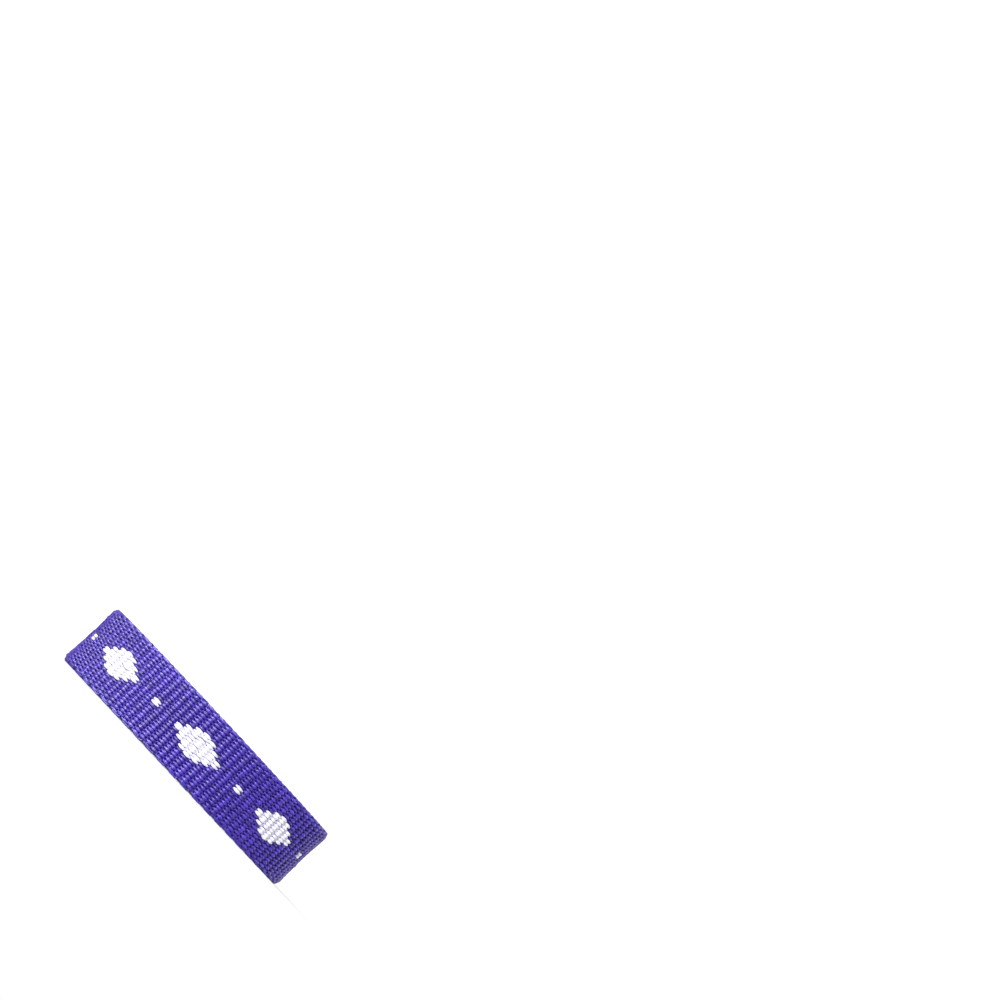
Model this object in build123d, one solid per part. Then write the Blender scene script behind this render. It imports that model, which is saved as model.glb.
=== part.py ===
from build123d import *
import math
import os

# A woven wristband, closed into a wrist loop and lying on its side: the loop's axis is +Z and its lower
# long edge is the flat land at z = 0. X is the loop's breadth, Y its depth, and the front faces -Y.
# All lengths are in millimetres.

# The strap
band_width = 14.0
wall_thickness = 1.3
rib_pitch = 1.58
rib_depth = 0.22
selvedge_height = 0.45
selvedge_radius = 0.28

# The loop, measured inside the strap
inside_breadth = 56.6
inside_depth = 39.8
side_inside_radius = 13.2

# The joiner at the back of the loop
clasp_length = 20.0
clasp_plate = 1.0
clasp_web = 3.2
clasp_edge_radius = 0.4
pocket_clearance = 0.12
band_end_gap = 0.3

# How far the core of the strap stands above the valleys between its ribs
core_relief = 0.03

# The middle line of the wall is an oval of four arcs that meet smoothly. Two are narrow, at the sides of
# the wrist, and two are wide, at its front and back.
half_breadth = (inside_breadth + wall_thickness) / 2
half_depth = (inside_depth + wall_thickness) / 2
side_radius = side_inside_radius + wall_thickness / 2
side_centre = half_breadth - side_radius
wide_radius = (side_centre**2 + half_depth**2 - side_radius**2) / (2 * (half_depth - side_radius))
wide_centre = wide_radius - half_depth
wide_half_angle = math.atan2(side_centre, wide_centre)
side_angle = math.pi - 2 * wide_half_angle

# The five runs of that line, in order from the middle of the back towards -X: the centre of each arc,
# its radius and how far it turns
run_table = [
    {"centre": (0, -wide_centre), "radius": wide_radius, "turn": wide_half_angle},
    {"centre": (-side_centre, 0), "radius": side_radius, "turn": side_angle},
    {"centre": (0, wide_centre), "radius": wide_radius, "turn": 2 * wide_half_angle},
    {"centre": (side_centre, 0), "radius": side_radius, "turn": side_angle},
    {"centre": (0, -wide_centre), "radius": wide_radius, "turn": wide_half_angle},
]
loop_length = sum(run["radius"] * run["turn"] for run in run_table)
back_direction = math.pi / 2

# The strap's ends stop short of the joiner's web
end_inset = clasp_web / 2 + band_end_gap
strap_length = loop_length - 2 * end_inset

# The joiner's two plates close on the strap with a clearance, so its pocket and outside follow the wall
half_pocket = wall_thickness / 2 + pocket_clearance
half_clasp = half_pocket + clasp_plate

# The joiner stands out at the back, so the loop moves forward until its outside is centred on the origin
back_reach = half_depth + half_clasp
front_reach = half_depth + wall_thickness / 2
centring = Pos(0, (front_reach - back_reach) / 2, 0)


def loop_point(length, offset):
    """The point at a length along the middle line, moved outwards from it by an offset."""
    direction = back_direction
    for run in run_table:
        run_length = run["radius"] * run["turn"]
        if length <= run_length or run is run_table[-1]:
            break
        length -= run_length
        direction += run["turn"]
    direction += length / run["radius"]
    reach = run["radius"] + offset
    x = run["centre"][0] + reach * math.cos(direction)
    y = run["centre"][1] + reach * math.sin(direction)
    return (x, y)


def ribbed_edges(count, side):
    """The wavy outline of one face of the strap: an arc for each rib, from valley over crown to valley."""
    crown = side * wall_thickness / 2
    valley = crown - side * rib_depth
    pitch = strap_length / count
    edges = []
    for rib in range(count):
        start = end_inset + rib * pitch
        edges.append(
            ThreePointArc(
                loop_point(start, valley),
                loop_point(start + pitch / 2, crown),
                loop_point(start + pitch, valley),
            )
        )
    return edges


def curved_bar(radius, thickness, corner, turn):
    """A bar as high as the strap, bent about +Z at a radius: its section is a rounded rectangle."""
    section = RectangleRounded(thickness, band_width, corner) if corner else Rectangle(thickness, band_width)
    placed = Pos(radius, 0, band_width / 2) * (Plane.XZ * section)
    return revolve(placed, axis=Axis.Z, revolution_arc=math.degrees(turn))


def placed_bar(bar, centre, direction):
    """A curved bar moved to its arc's centre and turned to start at a direction."""
    return Pos(centre[0], centre[1], 0) * Rot(0, 0, math.degrees(direction)) * bar


def make_core():
    """The smooth middle of the strap, full height, with rounded selvedges and a flat land on each."""
    thickness = wall_thickness - 2 * (rib_depth - core_relief)
    end_turn = end_inset / wide_radius
    direction = back_direction + end_turn
    core = None
    for run in run_table:
        is_end_run = run is run_table[0] or run is run_table[-1]
        turn = run["turn"] - end_turn if is_end_run else run["turn"]
        bar = curved_bar(run["radius"], thickness, selvedge_radius, turn)
        piece = placed_bar(bar, run["centre"], direction)
        direction += turn
        core = piece if core is None else core + piece
    return core


def make_ribs():
    """The ribs of both faces as one upright wall, which stops short of the selvedges."""
    rib_count = 2 * round((strap_length / rib_pitch - 1) / 2) + 1
    outer = ribbed_edges(rib_count, 1)
    inner = ribbed_edges(rib_count, -1)
    end_caps = [Line(outer[0] @ 0, inner[0] @ 0), Line(outer[-1] @ 1, inner[-1] @ 1)]
    outline = make_face(Curve() + outer + inner + end_caps)
    wall = extrude(outline, band_width - 2 * selvedge_height, dir=(0, 0, 1))
    return Pos(0, 0, selvedge_height) * wall


def make_band():
    """The woven strap in one piece."""
    return centring * (make_core() + make_ribs())


def make_clasp():
    """The joiner: two curved plates with a web between them, which leaves a pocket at each end."""
    whole_turn = clasp_length / wide_radius
    pocket_turn = (clasp_length - clasp_web) / 2 / wide_radius
    body = curved_bar(wide_radius, 2 * half_clasp, clasp_edge_radius, whole_turn)
    pocket = curved_bar(wide_radius, 2 * half_pocket, 0, pocket_turn)
    clasp = body - pocket - placed_bar(pocket, (0, 0), whole_turn - pocket_turn)
    return centring * placed_bar(clasp, (0, -wide_centre), back_direction - whole_turn / 2)


def main():
    os.makedirs("parts", exist_ok=True)
    export_step(make_band(), "parts/band.step")
    export_step(make_clasp(), "parts/clasp.step")
    print("loop length", round(loop_length, 2), "strap length", round(strap_length, 2))


main()
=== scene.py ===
# A woven wristband: yarns, pattern and finishes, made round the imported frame
import bpy
import math
import numpy as np
from mathutils import Matrix, Vector


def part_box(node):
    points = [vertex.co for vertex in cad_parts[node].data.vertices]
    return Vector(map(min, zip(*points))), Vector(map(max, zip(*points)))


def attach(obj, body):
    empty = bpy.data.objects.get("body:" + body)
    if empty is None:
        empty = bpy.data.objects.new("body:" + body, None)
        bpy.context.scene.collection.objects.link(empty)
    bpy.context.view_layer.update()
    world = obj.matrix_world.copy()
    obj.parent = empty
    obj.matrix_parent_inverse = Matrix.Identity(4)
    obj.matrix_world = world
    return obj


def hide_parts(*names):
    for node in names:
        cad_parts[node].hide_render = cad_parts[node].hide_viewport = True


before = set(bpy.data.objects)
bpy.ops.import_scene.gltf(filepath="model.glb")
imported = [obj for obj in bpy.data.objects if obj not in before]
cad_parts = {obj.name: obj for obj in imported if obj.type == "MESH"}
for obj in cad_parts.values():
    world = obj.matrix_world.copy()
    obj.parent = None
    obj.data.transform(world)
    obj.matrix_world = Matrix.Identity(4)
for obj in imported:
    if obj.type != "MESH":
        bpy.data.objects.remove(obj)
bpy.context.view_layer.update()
print("frame loaded:", sorted(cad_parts))


mm = 0.001
up = np.array([0.0, 0.0, 1.0])

# The loop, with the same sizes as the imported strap, and how the woven strap strays from it
loopSizes = {
    "insideBreadth": 56.6 * mm,
    "insideDepth": 39.8 * mm,
    "sideInsideRadius": 13.2 * mm,
    "wall": 1.3 * mm,
    "endInset": 1.9 * mm,     # from the middle of the back to each end of the strap
    "ribPitch": 1.58 * mm,    # about, as the strap has a whole, odd number of ribs
    "pullReach": 1.2,         # how far the side turns change the strap, as a share of half a turn
    "dish": 0.22 * mm,        # how hollow the strap is across its width at the side turns
    "dishInward": 0.75,       # the share of it by which the middle is drawn in
    "curl": 0.5 * mm,         # how far the two edges draw in at the side turns
    "curlReach": 1.1 * mm,
    "lean": 0.13 * mm,        # how far the ribs lean along the strap, at its edges
    "leanStart": 65.0 * mm,   # where along the loop they stand upright
    "wobble": 0.05 * mm,
    "wobbleLength": 13.0 * mm,
    "wobbleSlant": 3.0,       # radians from the middle of the width to an edge
    "steadyEnds": 10.0 * mm,  # over which the lean and the wobble fade out at both ends
}

bandLow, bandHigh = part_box("band")
bandWidth = bandHigh.z - bandLow.z
halfWall = loopSizes["wall"] / 2
halfBreadth = loopSizes["insideBreadth"] / 2 + halfWall
halfDepth = loopSizes["insideDepth"] / 2 + halfWall
sideRadius = loopSizes["sideInsideRadius"] + halfWall
sideCentre = halfBreadth - sideRadius
wideRadius = (sideCentre**2 + halfDepth**2 - sideRadius**2) / (2 * (halfDepth - sideRadius))
wideCentre = wideRadius - halfDepth
wideHalfAngle = math.atan2(sideCentre, wideCentre)
loopShift = bandLow.y + halfDepth + halfWall      # the loop's middle lies a little in front of the origin

# Five runs of the wall's middle line, from the middle of the back towards -X
runCentres = np.array([
    (0, -wideCentre),
    (-sideCentre, 0),
    (0, wideCentre),
    (sideCentre, 0),
    (0, -wideCentre),
])
runRadii = np.array([wideRadius, sideRadius, wideRadius, sideRadius, wideRadius])
sideAngle = math.pi - 2 * wideHalfAngle
runTurns = np.array([wideHalfAngle, sideAngle, 2 * wideHalfAngle, sideAngle, wideHalfAngle])
runStarts = np.concatenate([[0], np.cumsum(runRadii * runTurns)[:-1]])
runDirections = math.pi / 2 + np.concatenate([[0], np.cumsum(runTurns)[:-1]])
loopLength = float((runRadii * runTurns).sum())
strapLength = loopLength - 2 * loopSizes["endInset"]
ribCount = 2 * round((strapLength / loopSizes["ribPitch"] - 1) / 2) + 1
ribPitch = strapLength / ribCount


def loopPlace(along, outward):
    # x, y and outward direction at a length along the loop, moved out of the wall's middle line
    run = np.clip(np.searchsorted(runStarts, along, side="right") - 1, 0, len(runStarts) - 1)
    direction = runDirections[run] + (along - runStarts[run]) / runRadii[run]
    reach = runRadii[run] + outward
    x = runCentres[run, 0] + reach * np.cos(direction)
    y = runCentres[run, 1] + reach * np.sin(direction) + loopShift
    return x, y, direction


def sidePull(along):
    # 1 at the middle of each side turn, 0 along the front and the back
    quarter = loopLength / 4
    distance = np.minimum(np.abs(along - quarter), np.abs(along - 3 * quarter))
    reach = sideRadius * sideAngle / 2 * loopSizes["pullReach"]
    return np.clip(1 - (distance / reach) ** 2, 0, 1)


def strapPath(along, height, outward):
    # places in the strap, and the direction out of its wall at each: its ribs lean a little, and at the
    # side turns it is slightly hollow across the width with its edges curled in
    share = (height - bandLow.z) / bandWidth * 2 - 1
    ends = np.clip(np.minimum(along, loopLength - along) / loopSizes["steadyEnds"], 0, 1)
    lean = loopSizes["lean"] * np.sin(2 * math.pi * (along - loopSizes["leanStart"]) / loopLength) * share
    slant = loopSizes["wobbleSlant"] * share
    wobble = loopSizes["wobble"] * np.sin(2 * math.pi * along / loopSizes["wobbleLength"] + slant)
    fromEdge = (1 - np.abs(share)) * bandWidth / 2
    curl = loopSizes["curl"] * np.clip(1 - fromEdge / loopSizes["curlReach"], 0, 1) ** 2
    pull = sidePull(along) * (loopSizes["dish"] * (share**2 - loopSizes["dishInward"]) - curl)
    x, y, direction = loopPlace(along + (lean + wobble) * ends, outward + pull)
    places = np.stack([x, y, np.broadcast_to(height, x.shape)], axis=-1)
    return places, np.stack([np.cos(direction), np.sin(direction), np.zeros(x.shape)], axis=-1)


# Mesh helpers

def makeMesh(name, points, quads, triangles, fields=None):
    # a mesh from arrays, with its float and vector fields, linked and smooth shaded
    mesh = bpy.data.meshes.new(name)
    corners = np.concatenate([quads.ravel(), triangles.ravel()])
    sizes = np.repeat([4, 3], [len(quads), len(triangles)])
    mesh.vertices.add(len(points))
    mesh.vertices.foreach_set("co", points.astype(np.float32).ravel())
    mesh.loops.add(len(corners))
    mesh.loops.foreach_set("vertex_index", corners.astype(np.int32))
    mesh.polygons.add(len(sizes))
    mesh.polygons.foreach_set("loop_start", (np.cumsum(sizes) - sizes).astype(np.int32))
    mesh.polygons.foreach_set("use_smooth", np.ones(len(sizes), bool))
    mesh.update(calc_edges=True)
    mesh.validate()
    for field, values in (fields or {}).items():
        kind, key = ("FLOAT", "value") if values.ndim == 1 else ("FLOAT_VECTOR", "vector")
        mesh.attributes.new(field, kind, "POINT").data.foreach_set(key, values.astype(np.float32).ravel())
    piece = bpy.data.objects.new(name, mesh)
    bpy.context.scene.collection.objects.link(piece)
    return piece


def wallFaces(count, rings, sides):
    # the faces round the walls of some tubes, whose points are numbered ring by ring, tube by tube
    tube, ring, side = np.meshgrid(np.arange(count), np.arange(rings - 1), np.arange(sides), indexing="ij")
    here = (tube * rings + ring) * sides
    nextSide = (side + 1) % sides
    corners = [here + side, here + sides + side, here + sides + nextSide, here + nextSide]
    return np.stack(corners, axis=-1).reshape(-1, 4)


def capFaces(centres, starts, sides):
    # triangles from each centre point to a ring of points, whose first point is given
    centre, start = np.array(centres)[:, None], np.array(starts)[:, None]
    side = np.arange(sides)
    corners = np.broadcast_arrays(centre, start + side, start + (side + 1) % sides)
    return np.stack(corners, axis=-1).reshape(-1, 3)


def closedFaces(count, rings, sides):
    # walls and caps of closed tubes: the middles of their first ends, and then of their last ends, are
    # numbered after all the walls' points
    tube = np.arange(count)
    walls = count * rings * sides
    firstRings = tube * rings * sides
    lastRings = firstRings + (rings - 1) * sides
    startCaps = capFaces(walls + tube, firstRings, sides)
    endCaps = capFaces(walls + count + tube, lastRings, sides)[:, [0, 2, 1]]      # facing the other way
    return wallFaces(count, rings, sides), np.concatenate([startCaps, endCaps])


def unit(vectors):
    return vectors / np.linalg.norm(vectors, axis=-1, keepdims=True)


def smoothStep(low, high, value):
    share = np.clip((value - low) / (high - low), 0, 1)
    return share * share * (3 - 2 * share)


yarnSection = {
    "sides": 8,
    "squareness": 3.0,        # 2 is an oval, and more has flatter faces
    "twist": 0.6,             # radians for each millimetre of yarn
    "fibreStep": 17.3,        # millimetres that the fibres' pattern moves on from one yarn to the next
}


def tubes(name, paths, wideWay, thickWay, halfWidths, halfThicks, levels, shades,
          squareness=yarnSection["squareness"]):
    # closed tubes: paths is tubes x rings x 3, and what follows it holds for each ring, each tube or all
    count, rings = paths.shape[:2]
    wideWay = np.broadcast_to(wideWay, paths.shape)
    halfWidths, halfThicks, levels, shades = [np.broadcast_to(values, (count, rings))
                                              for values in (halfWidths, halfThicks, levels, shades)]
    sides = yarnSection["sides"]
    turn = (np.arange(sides) + 0.5) * 2 * math.pi / sides      # half a side on, so that flat sides face out
    power = 2 / squareness
    wideShare = np.sign(np.cos(turn)) * np.abs(np.cos(turn)) ** power
    thickShare = np.sign(np.sin(turn)) * np.abs(np.sin(turn)) ** power
    wide = (halfWidths[..., None] * wideShare)[..., None] * wideWay[:, :, None, :]
    thick = (halfThicks[..., None] * thickShare)[..., None] * thickWay[:, :, None, :]
    walls = (paths[:, :, None, :] + wide + thick).reshape(-1, 3)
    points = np.concatenate([walls, paths[:, 0], paths[:, -1]])
    quads, caps = closedFaces(count, rings, sides)

    # for the finish: a random shade, the level in the strap in millimetres, which sets the painted shade,
    # and a place along and round the yarn
    level = np.abs(levels[..., None] + halfThicks[..., None] * thickShare) / mm
    steps = np.linalg.norm(np.diff(paths, axis=1), axis=2)
    lengths = np.concatenate([np.zeros((count, 1)), np.cumsum(steps, axis=1)], axis=1) / mm
    lengths = lengths + np.arange(count)[:, None] * yarnSection["fibreStep"]
    spiral = turn + lengths[..., None] * yarnSection["twist"]
    around = np.repeat(lengths[..., None], sides, axis=2)
    place = np.stack([around, np.cos(spiral), np.sin(spiral)], axis=-1)
    ends = lengths[..., None] * np.array([1, 0, 0])
    fields = {
        "shade": np.concatenate([np.repeat(shades, sides), shades[:, 0], shades[:, -1]]),
        "level": np.concatenate([level.ravel(), np.zeros(2 * count)]),
        "yarnPlace": np.concatenate([place.reshape(-1, 3), ends[:, 0], ends[:, -1]]),
    }
    return makeMesh(name, points, quads, caps, fields)


# The pattern, as a chart: a repeat of ribs, in which each motif has one row for each rib away from
# its middle. "reach" is how many yarns above and below the middle line turn pale in that rib.
patternChart = {
    "repeat": 14,
    "motifs": [
        {"middle": 0, "reach": [8, 7, 4, 1]},     # a lozenge
        {"middle": 7, "reach": [1]},              # a dot
    ],
}


def isPale(rib, lane):
    # rib and lane count from the middle of the front and the middle of the width
    repeat = patternChart["repeat"]
    found = np.zeros(np.broadcast(rib, lane).shape, bool)
    for motif in patternChart["motifs"]:
        away = np.abs((rib - motif["middle"] + repeat // 2) % repeat - repeat // 2)
        for row, reach in enumerate(motif["reach"]):
            found |= (away == row) & (np.abs(lane) <= reach)
    return found


# The warp: each yarn runs the whole length and passes from face to face between the ribs. A yarn lies
# wide and flat over a rib, stands deep where it crosses its neighbours between two ribs, and is
# narrowest just inside each rib, which leaves a small hole there.
warp = {
    "yarns": 41,
    "seed": 11,
    # a yarn's rings over a rib, whose edges are -1 and 1: the ring at 1 is the next rib's first
    "ringPlaces": [-1, -0.82, -0.64, -0.46, -0.2, 0.2, 0.46, 0.64, 0.82],
    "lowerRoom": 0.52 * mm,    # from the lower edge to the middle of the first yarn
    "upperRoom": 0.36 * mm,
    "lowerMargin": 0.2 * mm,   # how far the first yarn stays above the lower edge
    "crowding": 0.15,          # how much wider apart the yarns lie at the edges than in the middle
    "rise": 0.415 * mm,        # the middle of a yarn above the middle of the wall, over a rib
    "edgeRise": [0.5, 0.8, 0.95],      # shares of the rise, for the yarns nearest to either edge
    "archPower": 1.1,          # 1 is a plain arch over the rib, and more is lower towards its edges
    "halfWidth": 0.342 * mm,
    "halfThick": 0.225 * mm,
    "crossingWidth": 0.26 * mm,
    "crossingThick": 0.37 * mm,
    "holeWidth": 0.155 * mm,   # half the width of a yarn beside a hole
    "holeFrom": 0.4,           # where the hole lies, if 0 is a crossing and 1 is the middle of a rib
    "holeTo": 0.48,
    "fullFrom": 0.97,          # from where on a float has its whole width
    "topWidth": 0.275 * mm,    # the least for the last yarn, which keeps the upper edge straight
    "coveredThick": 0.22 * mm, # half the thickness where a pale yarn's end covers the yarn
    "coveredSink": 0.22 * mm,  # how far the yarn keeps to the inner face there
    "besideThick": 0.25 * mm,  # the same two for a crossing right beside such an end
    "besideSink": 0.08 * mm,
    "underPale": 0.6,          # the share of its width and thickness that a yarn has under a pale float
    "besidePale": 0.76,        # the same for a float right beside a pale one
    "unevenness": 0.04 * mm,
    "riseSpread": 0.6,         # how much floats differ in rise, as a share of the unevenness
    "fullnessSpread": 0.09,    # and in width and thickness, as a share of them
    "apexShift": 0.08,         # how far a float's highest place strays, as a share of half a rib
    "floatShade": 0.8,         # how much single floats differ in shade, and whole yarns
    "yarnShade": 0.6,
}
seeded = np.random.default_rng(warp["seed"])
rib = np.arange(ribCount)[:, None] - ribCount // 2
lane = np.arange(warp["yarns"]) - warp["yarns"] // 2
onOuterFace = (rib + lane) % 2 == 0
pale = onOuterFace & isPale(rib, lane)

laneShare = lane / (warp["yarns"] // 2)
laneShare = (laneShare + warp["crowding"] * laneShare**3 / 3) / (1 + warp["crowding"] / 3)
lowestYarn, highestYarn = bandLow.z + warp["lowerRoom"], bandHigh.z - warp["upperRoom"]
yarnHeights = (lowestYarn + highestYarn) / 2 + (highestYarn - lowestYarn) / 2 * laneShare
yarnSpacing = np.gradient(yarnHeights)
yarnRoom = (yarnSpacing / yarnSpacing.mean())[:, None]

ribEdges = loopSizes["endInset"] + ribPitch * np.arange(ribCount + 1)
ribEdges[1:-1] += seeded.normal(0, 1, ribCount - 1) * warp["unevenness"]
ribMiddles = (ribEdges[:-1] + ribEdges[1:]) / 2


def edgeShare():
    # the yarns nearest to the two edges lie closer to the middle of the wall, so that the edges are round
    share = np.ones(warp["yarns"])
    taper = np.array(warp["edgeRise"])
    share[:len(taper)], share[-len(taper):] = taper, taper[::-1]
    return share


def crossingForms():
    # how thick each yarn is and how deep it lies at every edge between two ribs, which depends on the
    # pale floats that end there
    noRib = np.zeros((1, warp["yarns"]), bool)
    covered = np.concatenate([noRib, pale]) | np.concatenate([pale, noRib])
    beside = np.zeros_like(covered)
    beside[:, 1:] |= covered[:, :-1]
    beside[:, :-1] |= covered[:, 1:]
    thick = np.where(beside, warp["besideThick"], warp["crossingThick"])
    sink = np.where(beside, warp["besideSink"], 0.0)
    return np.where(covered, warp["coveredThick"], thick), np.where(covered, warp["coveredSink"], sink)


def makeWarp():
    # where each ring of a yarn lies, and the rib and the edge that it belongs to
    places = np.array(warp["ringPlaces"])
    along = (ribEdges[:-1, None] + np.diff(ribEdges)[:, None] * (places + 1) / 2).ravel()
    along = np.append(along, ribEdges[-1])
    overRib = np.append(np.tile(places, ribCount), 1.0)
    ribOf = np.append(np.repeat(np.arange(ribCount), len(places)), ribCount - 1)
    edgeOf = np.where(overRib > 0, ribOf + 1, ribOf)

    # what differs from float to float: ribs x yarns
    shape = pale.shape
    face = np.where(onOuterFace, np.where(pale, 0.0, 1.0), -1.0) * edgeShare()
    lift = face * (warp["rise"] + seeded.normal(0, warp["riseSpread"], shape) * warp["unevenness"])
    fullness = 1 + seeded.normal(0, warp["fullnessSpread"], shape)
    fullness *= np.where(pale, warp["underPale"], 1.0)
    fullness[:, 2:] *= np.where(pale[:, :-2], warp["besidePale"], 1.0)
    fullness[:, :-2] *= np.where(pale[:, 2:], warp["besidePale"], 1.0)
    apex = seeded.normal(0, warp["apexShift"], shape)
    sideStep = seeded.normal(0, 1, shape) * warp["unevenness"]
    shade = seeded.normal(0, warp["floatShade"], shape) + seeded.normal(0, warp["yarnShade"], warp["yarns"])

    # the same at every ring: yarns x rings
    lift, fullness, apex, sideStep, shade = [values[ribOf].T
                                             for values in (lift, fullness, apex, sideStep, shade)]
    crossingThick, crossingSink = [values[edgeOf].T for values in crossingForms()]
    arch = np.cos(math.pi / 2 * (overRib + apex * (1 - overRib**2)))      # 0 at a crossing, 1 at the top
    level = lift * np.abs(arch) ** warp["archPower"] - crossingSink * (1 - arch)
    height = yarnHeights[:, None] + sideStep * arch
    paths, outward = strapPath(along, height, level)
    crossing, hole = warp["crossingWidth"], warp["holeWidth"]
    half = crossing + (hole - crossing) * smoothStep(0, warp["holeFrom"], arch)
    half += (warp["halfWidth"] * fullness - hole) * smoothStep(warp["holeTo"], warp["fullFrom"], arch)
    half[-1] = np.maximum(half[-1], warp["topWidth"])
    toEdge = np.minimum(height - bandLow.z - warp["lowerMargin"], bandHigh.z - height)
    widths = np.minimum(yarnRoom * half, toEdge)
    flat = warp["halfThick"] * fullness
    thicks = flat + (crossingThick - flat) * (1 - arch)
    names = ["warp_yarns_lower", "warp_yarns_middle", "warp_yarns_upper"]
    groups = np.array_split(np.arange(warp["yarns"]), len(names))
    return [tubes(name, paths[group], up, outward[group], widths[group], thicks[group],
                  level[group], shade[group]) for name, group in zip(names, groups)]


# The pale pattern yarns: one float for each pale rib and yarn, its ends sunk between the ribs. An end
# inside a motif runs on under its pale neighbours, and one at its border keeps a tip of its own.
paleYarn = {
    "ringPlaces": [-1, -0.94, -0.84, -0.7, -0.55, -0.35, -0.12, 0.12, 0.35, 0.55, 0.7, 0.84, 0.94, 1],
    "squareness": 2.5,
    "rise": 0.43 * mm,
    "halfWidth": 0.34 * mm,
    "halfThick": 0.26 * mm,
    "passThick": 0.3 * mm,
    "deepening": 1.5,          # 1 thickens evenly towards the passes, and more does so later
    "innerPass": 0.2 * mm,     # half the width between two pale ribs
    "leftPass": 0.27 * mm,     # the same at a motif's left and right borders
    "rightPass": 0.21 * mm,
    "widenFrom": 0.15,         # where it widens, if 0 is a pass and 1 is the middle of a rib
    "widenTo": 0.85,
    "innerReach": 1.45,        # half a float's length, as a share of half a rib
    "borderReach": 1.27,
    "innerLowest": 0.11 * mm,  # of a float's middle above the middle of the wall
    "borderLowest": 0.16 * mm,
    "tip": 0.34,               # the rounded share of a float's half length, at its end
    "bluntness": 0.02,         # 0 is a sharp point
    "lengthSpread": 0.02,
    "riseSpread": 0.6,         # these two are shares of the warp's unevenness
    "sideSpread": 0.7,
}


def makePattern():
    ribs, yarns = np.nonzero(pale)
    each = (len(ribs), 1)      # one random value for each float
    above, below = np.minimum(yarns + 1, warp["yarns"] - 1), np.maximum(yarns - 1, 0)
    insideLeft = pale[ribs - 1, above] & pale[ribs - 1, below]
    insideRight = pale[ribs + 1, above] & pale[ribs + 1, below]
    places = np.array(paleYarn["ringPlaces"])
    left = places < 0
    inside = np.where(left, insideLeft[:, None], insideRight[:, None])
    overRib = np.where(inside, paleYarn["innerReach"], paleYarn["borderReach"]) * places
    stretch = 1 + seeded.normal(0, paleYarn["lengthSpread"], each)
    along = ribMiddles[ribs][:, None] + ribPitch / 2 * overRib * stretch
    arch = np.cos(math.pi / 2 * overRib)
    swell = np.sign(arch) * np.abs(arch) ** warp["archPower"]
    rise = paleYarn["rise"] + seeded.normal(0, paleYarn["riseSpread"], each) * warp["unevenness"]
    lowest = np.where(inside, paleYarn["innerLowest"], paleYarn["borderLowest"])
    level = np.maximum(rise * swell, lowest)
    sideStep = seeded.normal(0, paleYarn["sideSpread"], each) * warp["unevenness"]
    paths, outward = strapPath(along, yarnHeights[yarns][:, None] + sideStep, level)
    toTip = np.clip(np.abs(places) - 1 + paleYarn["tip"], 0, None) / paleYarn["tip"]
    tip = np.sqrt(np.clip(1 - toTip**2, paleYarn["bluntness"], 1))
    border = np.where(left, paleYarn["leftPass"], paleYarn["rightPass"])
    narrow = np.where(inside, paleYarn["innerPass"], border)
    widen = smoothStep(paleYarn["widenFrom"], paleYarn["widenTo"], arch)
    widths = yarnRoom[yarns] * (narrow + (paleYarn["halfWidth"] - narrow) * widen) * tip
    deepen = np.clip(1 - arch, 0, 1) ** paleYarn["deepening"]
    thicks = (paleYarn["halfThick"] + (paleYarn["passThick"] - paleYarn["halfThick"]) * deepen) * tip
    shades = seeded.normal(0, 1, each)
    return tubes("pattern_yarns", paths, up, outward, widths, thicks, level, shades, paleYarn["squareness"])


# The weft: picks lie side by side inside the strap, as one thin sheet with a swelling for each rib
weft = {
    "edgeRoom": 0.3 * mm,
    "halfThick": 0.17 * mm,
    "valleyShare": 0.3,       # the share of that thickness between two ribs
    "stepsPerRib": 6,
}


def makeWeftCore():
    rings = ribCount * weft["stepsPerRib"] + 1
    phase = np.arange(rings) / weft["stepsPerRib"]
    along = np.interp(phase, np.arange(ribCount + 1), ribEdges)
    half = weft["halfThick"] * (1 - (1 - weft["valleyShare"]) * np.cos(math.pi * phase) ** 2)
    low, high = bandLow.z + weft["edgeRoom"], bandHigh.z - weft["edgeRoom"]
    middle, rounding = (low + high) / 2, weft["halfThick"]
    # the sheet's section, going round: share of the half thickness, and height
    section = [(1, low + rounding), (1, middle), (1, high - rounding), (0, high),
               (-1, high - rounding), (-1, middle), (-1, low + rounding), (0, low)]
    share, height = np.array(section).T
    walls, _ = strapPath(along[:, None], height, share * half[:, None])
    points = np.concatenate([walls.reshape(-1, 3), [walls[0].mean(0)], [walls[-1].mean(0)]])
    return makeMesh("weft_core", points, *closedFaces(1, rings, len(section)))


# Where the weft turns back round the last yarn, at the two edges
selvedge = {
    "lowerRadius": 0.2 * mm,
    "lowerBreadth": 2.0,       # how much broader than thick a turn is
    "lowerCorner": 0.4 * mm,   # the radius of a turn's two bends
    "cornerRings": 5,
    "lowerLeg": 0.55 * mm,
    "lowerReach": 0.25 * mm,   # how far the legs stand outside the middles of their two ribs
    "lowerShadeLevel": 0.3 * mm,    # as a depth in the strap, for how much painted shade the turns get
    "upperRadius": 0.13 * mm,
    "upperBreadth": 1.5,
    "upperTurn": 0.30 * mm,
    "upperWrap": 0.15,         # how far each end goes past half a turn, as a share of it
    "upperRings": 11,
    "upperLean": 0.24 * mm,
    # the same for the upper turns, whose painted shade darkens the upper edge
    "upperShadeLevel": 0.17 * mm,
}


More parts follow.
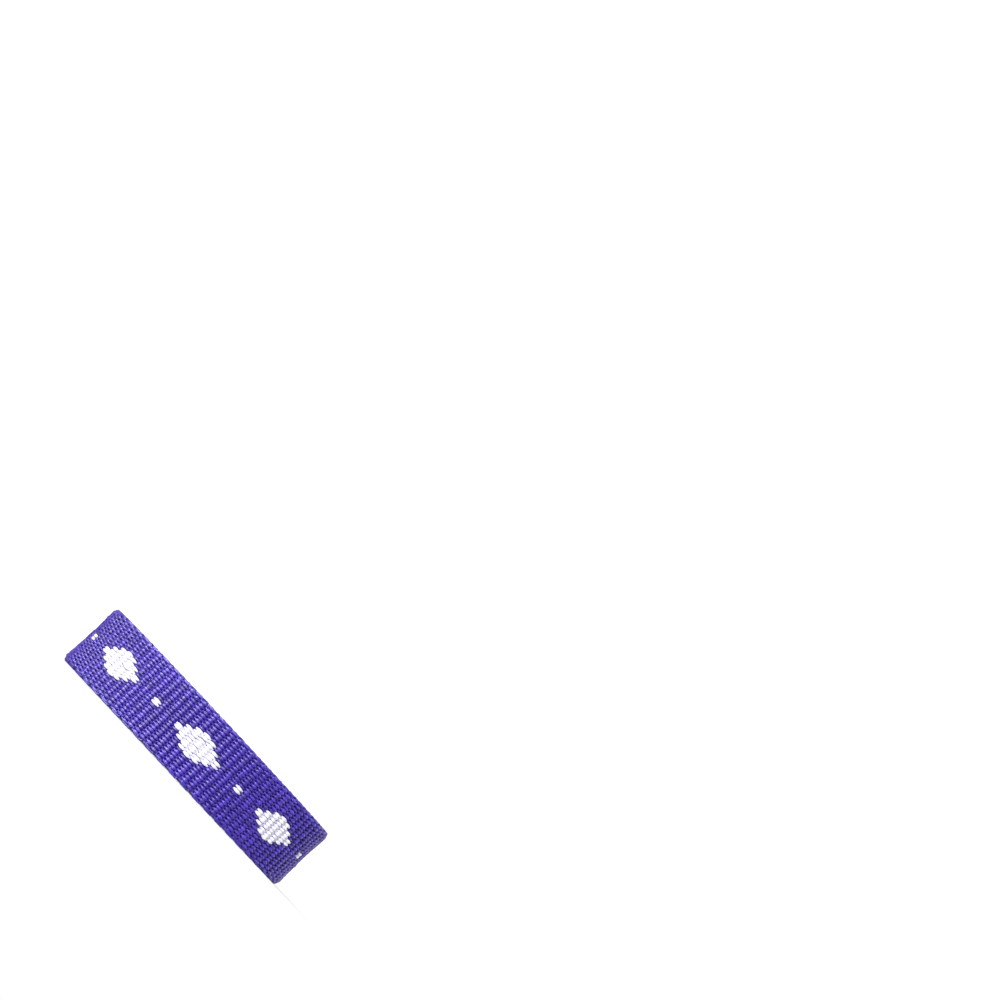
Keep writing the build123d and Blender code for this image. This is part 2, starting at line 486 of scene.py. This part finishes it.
def makeLowerTurns():
    # one turn under every pair of ribs, which scallops the lower edge
    radius, corner = selvedge["lowerRadius"], selvedge["lowerCorner"]
    left = ribMiddles[1:-1:2, None] - selvedge["lowerReach"]
    right = ribMiddles[2::2, None] + selvedge["lowerReach"]
    bottom = bandLow.z + radius
    angle = np.linspace(0, math.pi / 2, selvedge["cornerRings"])
    inward = np.concatenate([[0], corner * (1 - np.cos(angle))])
    leg = np.concatenate([[bottom + corner + selvedge["lowerLeg"]], bottom + corner * (1 - np.sin(angle))])
    along = np.concatenate([left + inward, (left + right) / 2, (right - inward)[:, ::-1]], axis=1)
    height = np.concatenate([leg, [bottom], leg[::-1]])
    paths, outward = strapPath(along, height, 0.0)
    inPlane = unit(np.cross(unit(np.gradient(paths, axis=1)), outward))
    return tubes("selvedge_turns_lower", paths, outward, -inPlane,
                 radius * selvedge["lowerBreadth"], radius, selvedge["lowerShadeLevel"],
                 seeded.normal(0, 1, (len(left), 1)))


def makeUpperTurns():
    # one small turn over the last yarn at every rib, which gives the upper edge its fine bumps
    radius, turn, wrap = selvedge["upperRadius"], selvedge["upperTurn"], selvedge["upperWrap"]
    angle = np.linspace(-wrap * math.pi, (1 + wrap) * math.pi, selvedge["upperRings"])
    height = bandHigh.z - radius - turn + turn * np.sin(angle)
    along = ribMiddles[:, None] + selvedge["upperLean"] * np.cos(angle)
    paths, outward = strapPath(along, height, turn * np.cos(angle))
    tangents = unit(np.gradient(paths, axis=1))
    away = unit(np.cross(tangents, np.cross(up, outward)))
    return tubes("selvedge_turns_upper", paths, np.cross(away, tangents), away,
                 radius * selvedge["upperBreadth"], radius, selvedge["upperShadeLevel"],
                 seeded.normal(0, 1, (ribCount, 1)))


# Shader helpers: a wire is a socket that does sums, and each sum adds its Math node

class Wire:
    def __init__(self, tree, socket):
        self.tree, self.socket = tree, socket

    def sum(self, operation, first, second):
        node = self.tree.nodes.new("ShaderNodeMath")
        node.operation = operation
        for index, value in enumerate((first, second)):
            if isinstance(value, Wire):
                self.tree.links.new(value.socket, node.inputs[index])
            else:
                node.inputs[index].default_value = value
        return Wire(self.tree, node.outputs[0])

    def __add__(self, other):
        return self.sum("ADD", self, other)

    def __radd__(self, other):
        return self.sum("ADD", other, self)

    def __sub__(self, other):
        return self.sum("SUBTRACT", self, other)

    def __rsub__(self, other):
        return self.sum("SUBTRACT", other, self)

    def __mul__(self, other):
        return self.sum("MULTIPLY", self, other)

    def __rmul__(self, other):
        return self.sum("MULTIPLY", other, self)


class Finish:
    # one material: node() adds any other node, with its settings first and then its sockets
    def __init__(self, name):
        self.material = bpy.data.materials.new(name)
        self.material.use_nodes = True
        self.tree = self.material.node_tree
        self.shader = self.tree.nodes["Principled BSDF"]

    def node(self, kind, settings, sockets, output=0):
        node = self.tree.nodes.new(kind)
        for key, value in settings.items():
            setattr(node, key, value)
        self.fill(node, sockets)
        return Wire(self.tree, node.outputs[output])

    def fill(self, node, sockets):
        for key, value in sockets.items():
            if isinstance(value, Wire):
                self.tree.links.new(value.socket, node.inputs[key])
            else:
                node.inputs[key].default_value = value

    def field(self, name, output="Fac"):
        return self.node("ShaderNodeAttribute", {"attribute_name": name}, {}, output)

    def mix(self, factor, first, second):
        # the node's colours are its sockets 6 and 7, and their mix is its output 2
        settings = {"data_type": "RGBA", "clamp_factor": True}
        return self.node("ShaderNodeMix", settings, {0: factor, 6: first, 7: second}, 2)

    def surface(self, sockets):
        self.fill(self.shader, sockets)
        return self.material


halfway = 0.5      # the middle of a noise's values, and of the mix between two tones

# What the two yarns have in common
fibreLook = {
    "scale": (0.5, 3.4, 3.4),     # along the yarn, and for both directions across it
    "detail": 3.0,
    "fineness": 0.8,
    "height": 0.08 * mm,
    "roughnessVariation": 0.2,
    "sheenRoughness": 0.4,
    "darkestShadeLevel": 0.15,            # millimetres from the middle of the wall, where the painted shade is darkest
}
purpleLook = {
    "deep": (0.022, 0.005, 0.225, 1),
    "bright": (0.064, 0.022, 0.475, 1),
    # a painted shade colour, mixed in where a yarn lies deep between the floats
    "valley": (0.001, 0.0004, 0.285, 1),
    "valleyDepth": 1.0,       # the share of the painted valley shade where it is darkest
    "unshadedLevel": 0.42,        # from this level on, none of it shows
    "fibreVariation": 2.4,
    "floatVariation": 0.26,
    "patchScale": 90.0,
    "patchVariation": 0.5,
    "roughness": 0.38,
    "sheen": 0.0,
    "shine": 0.85,
    "shineTint": (0.96, 0.90, 1.0, 1),
}
whiteLook = {
    "deep": (0.73, 0.71, 0.81, 1),
    "bright": (0.89, 0.88, 0.95, 1),
    # painted grey shade, mixed into the seams where the pale yarns lie deep
    "valley": (0.50, 0.46, 0.70, 1),
    "valleyDepth": 0.85,
    "unshadedLevel": 0.58,
    "fibreVariation": 1.2,
    "floatVariation": 0.08,
    "patchScale": 120.0,
    "patchVariation": 0.2,
    "roughness": 0.5,
    "sheen": 0.1,
    "shine": 0.6,
    "shineTint": (1.0, 1.0, 1.0, 1),
}


def yarnFinish(name, look):
    # fibres run along the yarn, each float has its own random shade, and painted shade darkens it deeper
    # down between the floats
    finish = Finish(name)
    stretched = finish.node("ShaderNodeVectorMath", {"operation": "MULTIPLY"}, {
        0: finish.field("yarnPlace", "Vector"),
        1: fibreLook["scale"],
    })
    fibres = finish.node("ShaderNodeTexNoise", {}, {
        "Vector": stretched,
        "Scale": 1.0,
        "Detail": fibreLook["detail"],
        "Roughness": fibreLook["fineness"],
    })
    position = finish.node("ShaderNodeTexCoord", {}, {}, "Object")
    patches = finish.node("ShaderNodeTexNoise", {}, {"Vector": position, "Scale": look["patchScale"]})
    tone = halfway + finish.field("shade") * look["floatVariation"]
    tone = tone + (fibres - halfway) * look["fibreVariation"] + (patches - halfway) * look["patchVariation"]
    # how much painted shade each point gets: most deep in the strap, none at the face
    paintedShade = finish.node("ShaderNodeMapRange", {"interpolation_type": "SMOOTHSTEP"}, {
        "Value": finish.field("level"),
        "From Min": fibreLook["darkestShadeLevel"],
        "From Max": look["unshadedLevel"],
        "To Min": look["valleyDepth"],
        "To Max": 0.0,
    })
    dyed = finish.mix(tone, look["deep"], look["bright"])
    return finish.surface({
        "Base Color": finish.mix(paintedShade, dyed, look["valley"]),
        "Roughness": look["roughness"] + (fibres - halfway) * fibreLook["roughnessVariation"],
        "Normal": finish.node("ShaderNodeBump", {}, {"Height": fibres, "Distance": fibreLook["height"]}),
        "Sheen Weight": look["sheen"],
        "Sheen Roughness": fibreLook["sheenRoughness"],
        "Specular IOR Level": look["shine"],
        "Specular Tint": look["shineTint"],
    })


weftLook = {
    "grainScale": 4000.0,     # a very fine texture, about a quarter of a millimetre
    "grainHeight": 0.08 * mm,
    "roughness": 0.7,
    "grainRoughness": 0.2,
}


def weftFinish(name):
    # the picks inside the strap: the yarns' painted valley shade colour mixed with their deep dye, with a
    # fine grain
    finish = Finish(name)
    position = finish.node("ShaderNodeTexCoord", {}, {}, "Object")
    grain = finish.node("ShaderNodeTexNoise", {}, {"Vector": position, "Scale": weftLook["grainScale"]})
    return finish.surface({
        "Base Color": finish.mix(grain, purpleLook["valley"], purpleLook["deep"]),
        "Roughness": weftLook["roughness"] + (grain - halfway) * weftLook["grainRoughness"],
        "Normal": finish.node("ShaderNodeBump", {}, {"Height": grain, "Distance": weftLook["grainHeight"]}),
    })


claspLook = {
    "base": (0.009, 0.007, 0.026, 1),
    "light": (0.036, 0.028, 0.080, 1),
    "patchScale": 160.0,
    "patchDetail": 3.0,
    "grainScale": 2100.0,     # the mould's fine texture, about half a millimetre
    "grainDetail": 4.0,
    "grainVariation": 1.6,
    "grainHeight": 0.035 * mm,
    "roughness": 0.42,
    "grainRoughness": 0.25,
    "polish": 0.22,           # how far the roughness falls where it has been rubbed
}


def mouldedFinish(name):
    finish = Finish(name)
    position = finish.node("ShaderNodeTexCoord", {}, {}, "Object")
    grain = finish.node("ShaderNodeTexNoise", {}, {
        "Vector": position,
        "Scale": claspLook["grainScale"],
        "Detail": claspLook["grainDetail"],
    })
    patches = finish.node("ShaderNodeTexNoise", {}, {
        "Vector": position,
        "Scale": claspLook["patchScale"],
        "Detail": claspLook["patchDetail"],
    })
    tone = patches + (grain - halfway) * claspLook["grainVariation"]
    rough = claspLook["roughness"] + (grain - halfway) * claspLook["grainRoughness"]
    return finish.surface({
        "Base Color": finish.mix(tone, claspLook["base"], claspLook["light"]),
        "Roughness": rough - (patches - halfway) * claspLook["polish"],
        "Normal": finish.node("ShaderNodeBump", {}, {
            "Height": grain,
            "Distance": claspLook["grainHeight"],
        }),
    })


# Build
warpPieces = makeWarp()
patternPiece = makePattern()
weftPiece = makeWeftCore()
lowerTurns = makeLowerTurns()
upperTurns = makeUpperTurns()
print("yarns made:", warp["yarns"], "warp yarns over", ribCount, "ribs and", int(pale.sum()), "pale floats")

purpleYarn = yarnFinish("purple yarn", purpleLook)
for piece in warpPieces + [lowerTurns, upperTurns]:
    piece.data.materials.append(purpleYarn)
patternPiece.data.materials.append(yarnFinish("white yarn", whiteLook))
weftPiece.data.materials.append(weftFinish("weft inside"))
strapPieces = warpPieces + [patternPiece, lowerTurns, upperTurns]
for piece in strapPieces + [weftPiece]:
    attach(piece, "root")
    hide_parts("band")

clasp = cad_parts["clasp"]
clasp.data.materials.clear()
clasp.data.materials.append(mouldedFinish("moulded plastic"))
print("finishes made")


# The floor runs up into a backdrop far out all round, so that no edge of it shows. Sizes are in metres.
stage = {
    "flat": 1.6,              # how far out the level part reaches
    "bend": 1.0,              # the bend's radius
    "bendSteps": 12,
    "top": 1.5,               # the backdrop's height
    "sides": 96,
    "colour": (0.93, 0.93, 0.93, 1),
}


def makeStage():
    # the rings of points, each as its distance from the middle and its height
    profile = [(stage["flat"] / 2, 0.0), (stage["flat"], 0.0)]
    for step in range(1, stage["bendSteps"] + 1):
        angle = step / stage["bendSteps"] * math.pi / 2
        out = stage["flat"] + stage["bend"] * math.sin(angle)
        profile.append((out, stage["bend"] * (1 - math.cos(angle))))
    profile.append((stage["flat"] + stage["bend"], stage["top"]))
    sides = stage["sides"]
    turn = np.arange(sides) * 2 * math.pi / sides
    reach, level = np.array(profile).T[:, :, None]
    walls = np.stack([reach * np.cos(turn), reach * np.sin(turn), level + turn * 0], axis=-1).reshape(-1, 3)
    points = np.concatenate([walls, [(0, 0, 0)]])
    floor = makeMesh("floor", points, wallFaces(1, len(profile), sides), capFaces([len(walls)], [0], sides))
    finish = Finish("pale floor")
    floor.data.materials.append(finish.surface({
        "Base Color": stage["colour"],
        "Roughness": 1.0,
        "Specular IOR Level": 0.0,
    }))
    floor.visible_shadow = False      # the suns shine in over and through the backdrop
    floor.visible_glossy = False      # so the yarns' gloss shows the lamps alone, and the dye stays deep


# Soft light: a key from the front left, two lights that add gloss alone, further round on the left and
# behind on the right, light from overhead, and a little all round
lights = {
    "allRound": 0.33,
    # "from" is a direction, and "spread" is a sun's width in degrees
    "suns": [
        {"name": "key", "from": (-0.48, -0.76, 0.42), "spread": 30, "strength": 3.35},
        {"name": "gloss", "from": (-0.86, -0.39, 0.33), "spread": 30, "strength": 5.9, "glossOnly": True},
        {"name": "back gloss", "from": (0.80, 0.42, 0.43), "spread": 60, "strength": 1.7, "glossOnly": True},
        {"name": "overhead", "from": (0.0, 0.0, 1.0), "spread": 100, "strength": 0.6},
    ],
}


def makeLights():
    for light in lights["suns"]:
        data = bpy.data.lights.new(light["name"], "SUN")
        data.angle = math.radians(light["spread"])
        data.energy = light["strength"]
        lamp = bpy.data.objects.new(light["name"], data)
        lamp.location = light["from"]
        lamp.rotation_euler = (-Vector(light["from"])).to_track_quat("-Z", "Y").to_euler()
        lamp.visible_diffuse = not light.get("glossOnly", False)
        bpy.context.scene.collection.objects.link(lamp)
    world = bpy.data.worlds.new("soft white")
    world.use_nodes = True
    background = world.node_tree.nodes["Background"]
    background.inputs["Color"].default_value = (1, 1, 1, 1)
    background.inputs["Strength"].default_value = lights["allRound"]
    bpy.context.scene.world = world
    bpy.context.scene.view_settings.view_transform = "Standard"


# The camera looks square at the front, rolled and framed as the band lies in the picture
view = {
    "frame": 1000,                    # the picture's side, in pixels
    "bandMiddle": (196.9, 746.1),     # the middle of the strap's front, in the picture
    "bandTilt": 47.0,                 # degrees that the strap runs down to the right
    "pixelsPerMetre": 5420.0,
    "distance": 0.6,                  # metres from the strap's front
    "height": 2.0 * mm,               # low, so that the floor behind the band is seen edge-on
    "sensor": 36,                     # millimetres, as the focal length is
    "clip": (0.01, 20),
}


def makeCamera():
    front = Vector((0, bandLow.y, (bandLow.z + bandHigh.z) / 2))
    place = Vector((0, bandLow.y - view["distance"], view["height"]))
    tilt = math.radians(view["bandTilt"])
    right = Vector((math.cos(tilt), 0, math.sin(tilt)))
    forward = (front - place).normalized()
    down = forward.cross(right).normalized()
    right = down.cross(forward).normalized()
    base = Matrix((right, -down, -forward)).transposed()
    focal = view["pixelsPerMetre"] * view["distance"]
    middle = view["frame"] / 2
    aim = Vector(((view["bandMiddle"][0] - middle) / focal, -(view["bandMiddle"][1] - middle) / focal, -1))
    turn = Vector((0, 0, -1)).rotation_difference(aim.normalized()).to_matrix()
    data = bpy.data.cameras.new("camera")
    data.sensor_width = view["sensor"]
    data.lens = focal * view["sensor"] / view["frame"]
    data.clip_start, data.clip_end = view["clip"]
    camera = bpy.data.objects.new("camera", data)
    camera.matrix_world = Matrix.Translation(place) @ (base @ turn.transposed()).to_4x4()
    bpy.context.scene.collection.objects.link(camera)
    bpy.context.scene.camera = camera


makeStage()
makeLights()
makeCamera()
print("stage, lights and camera made")
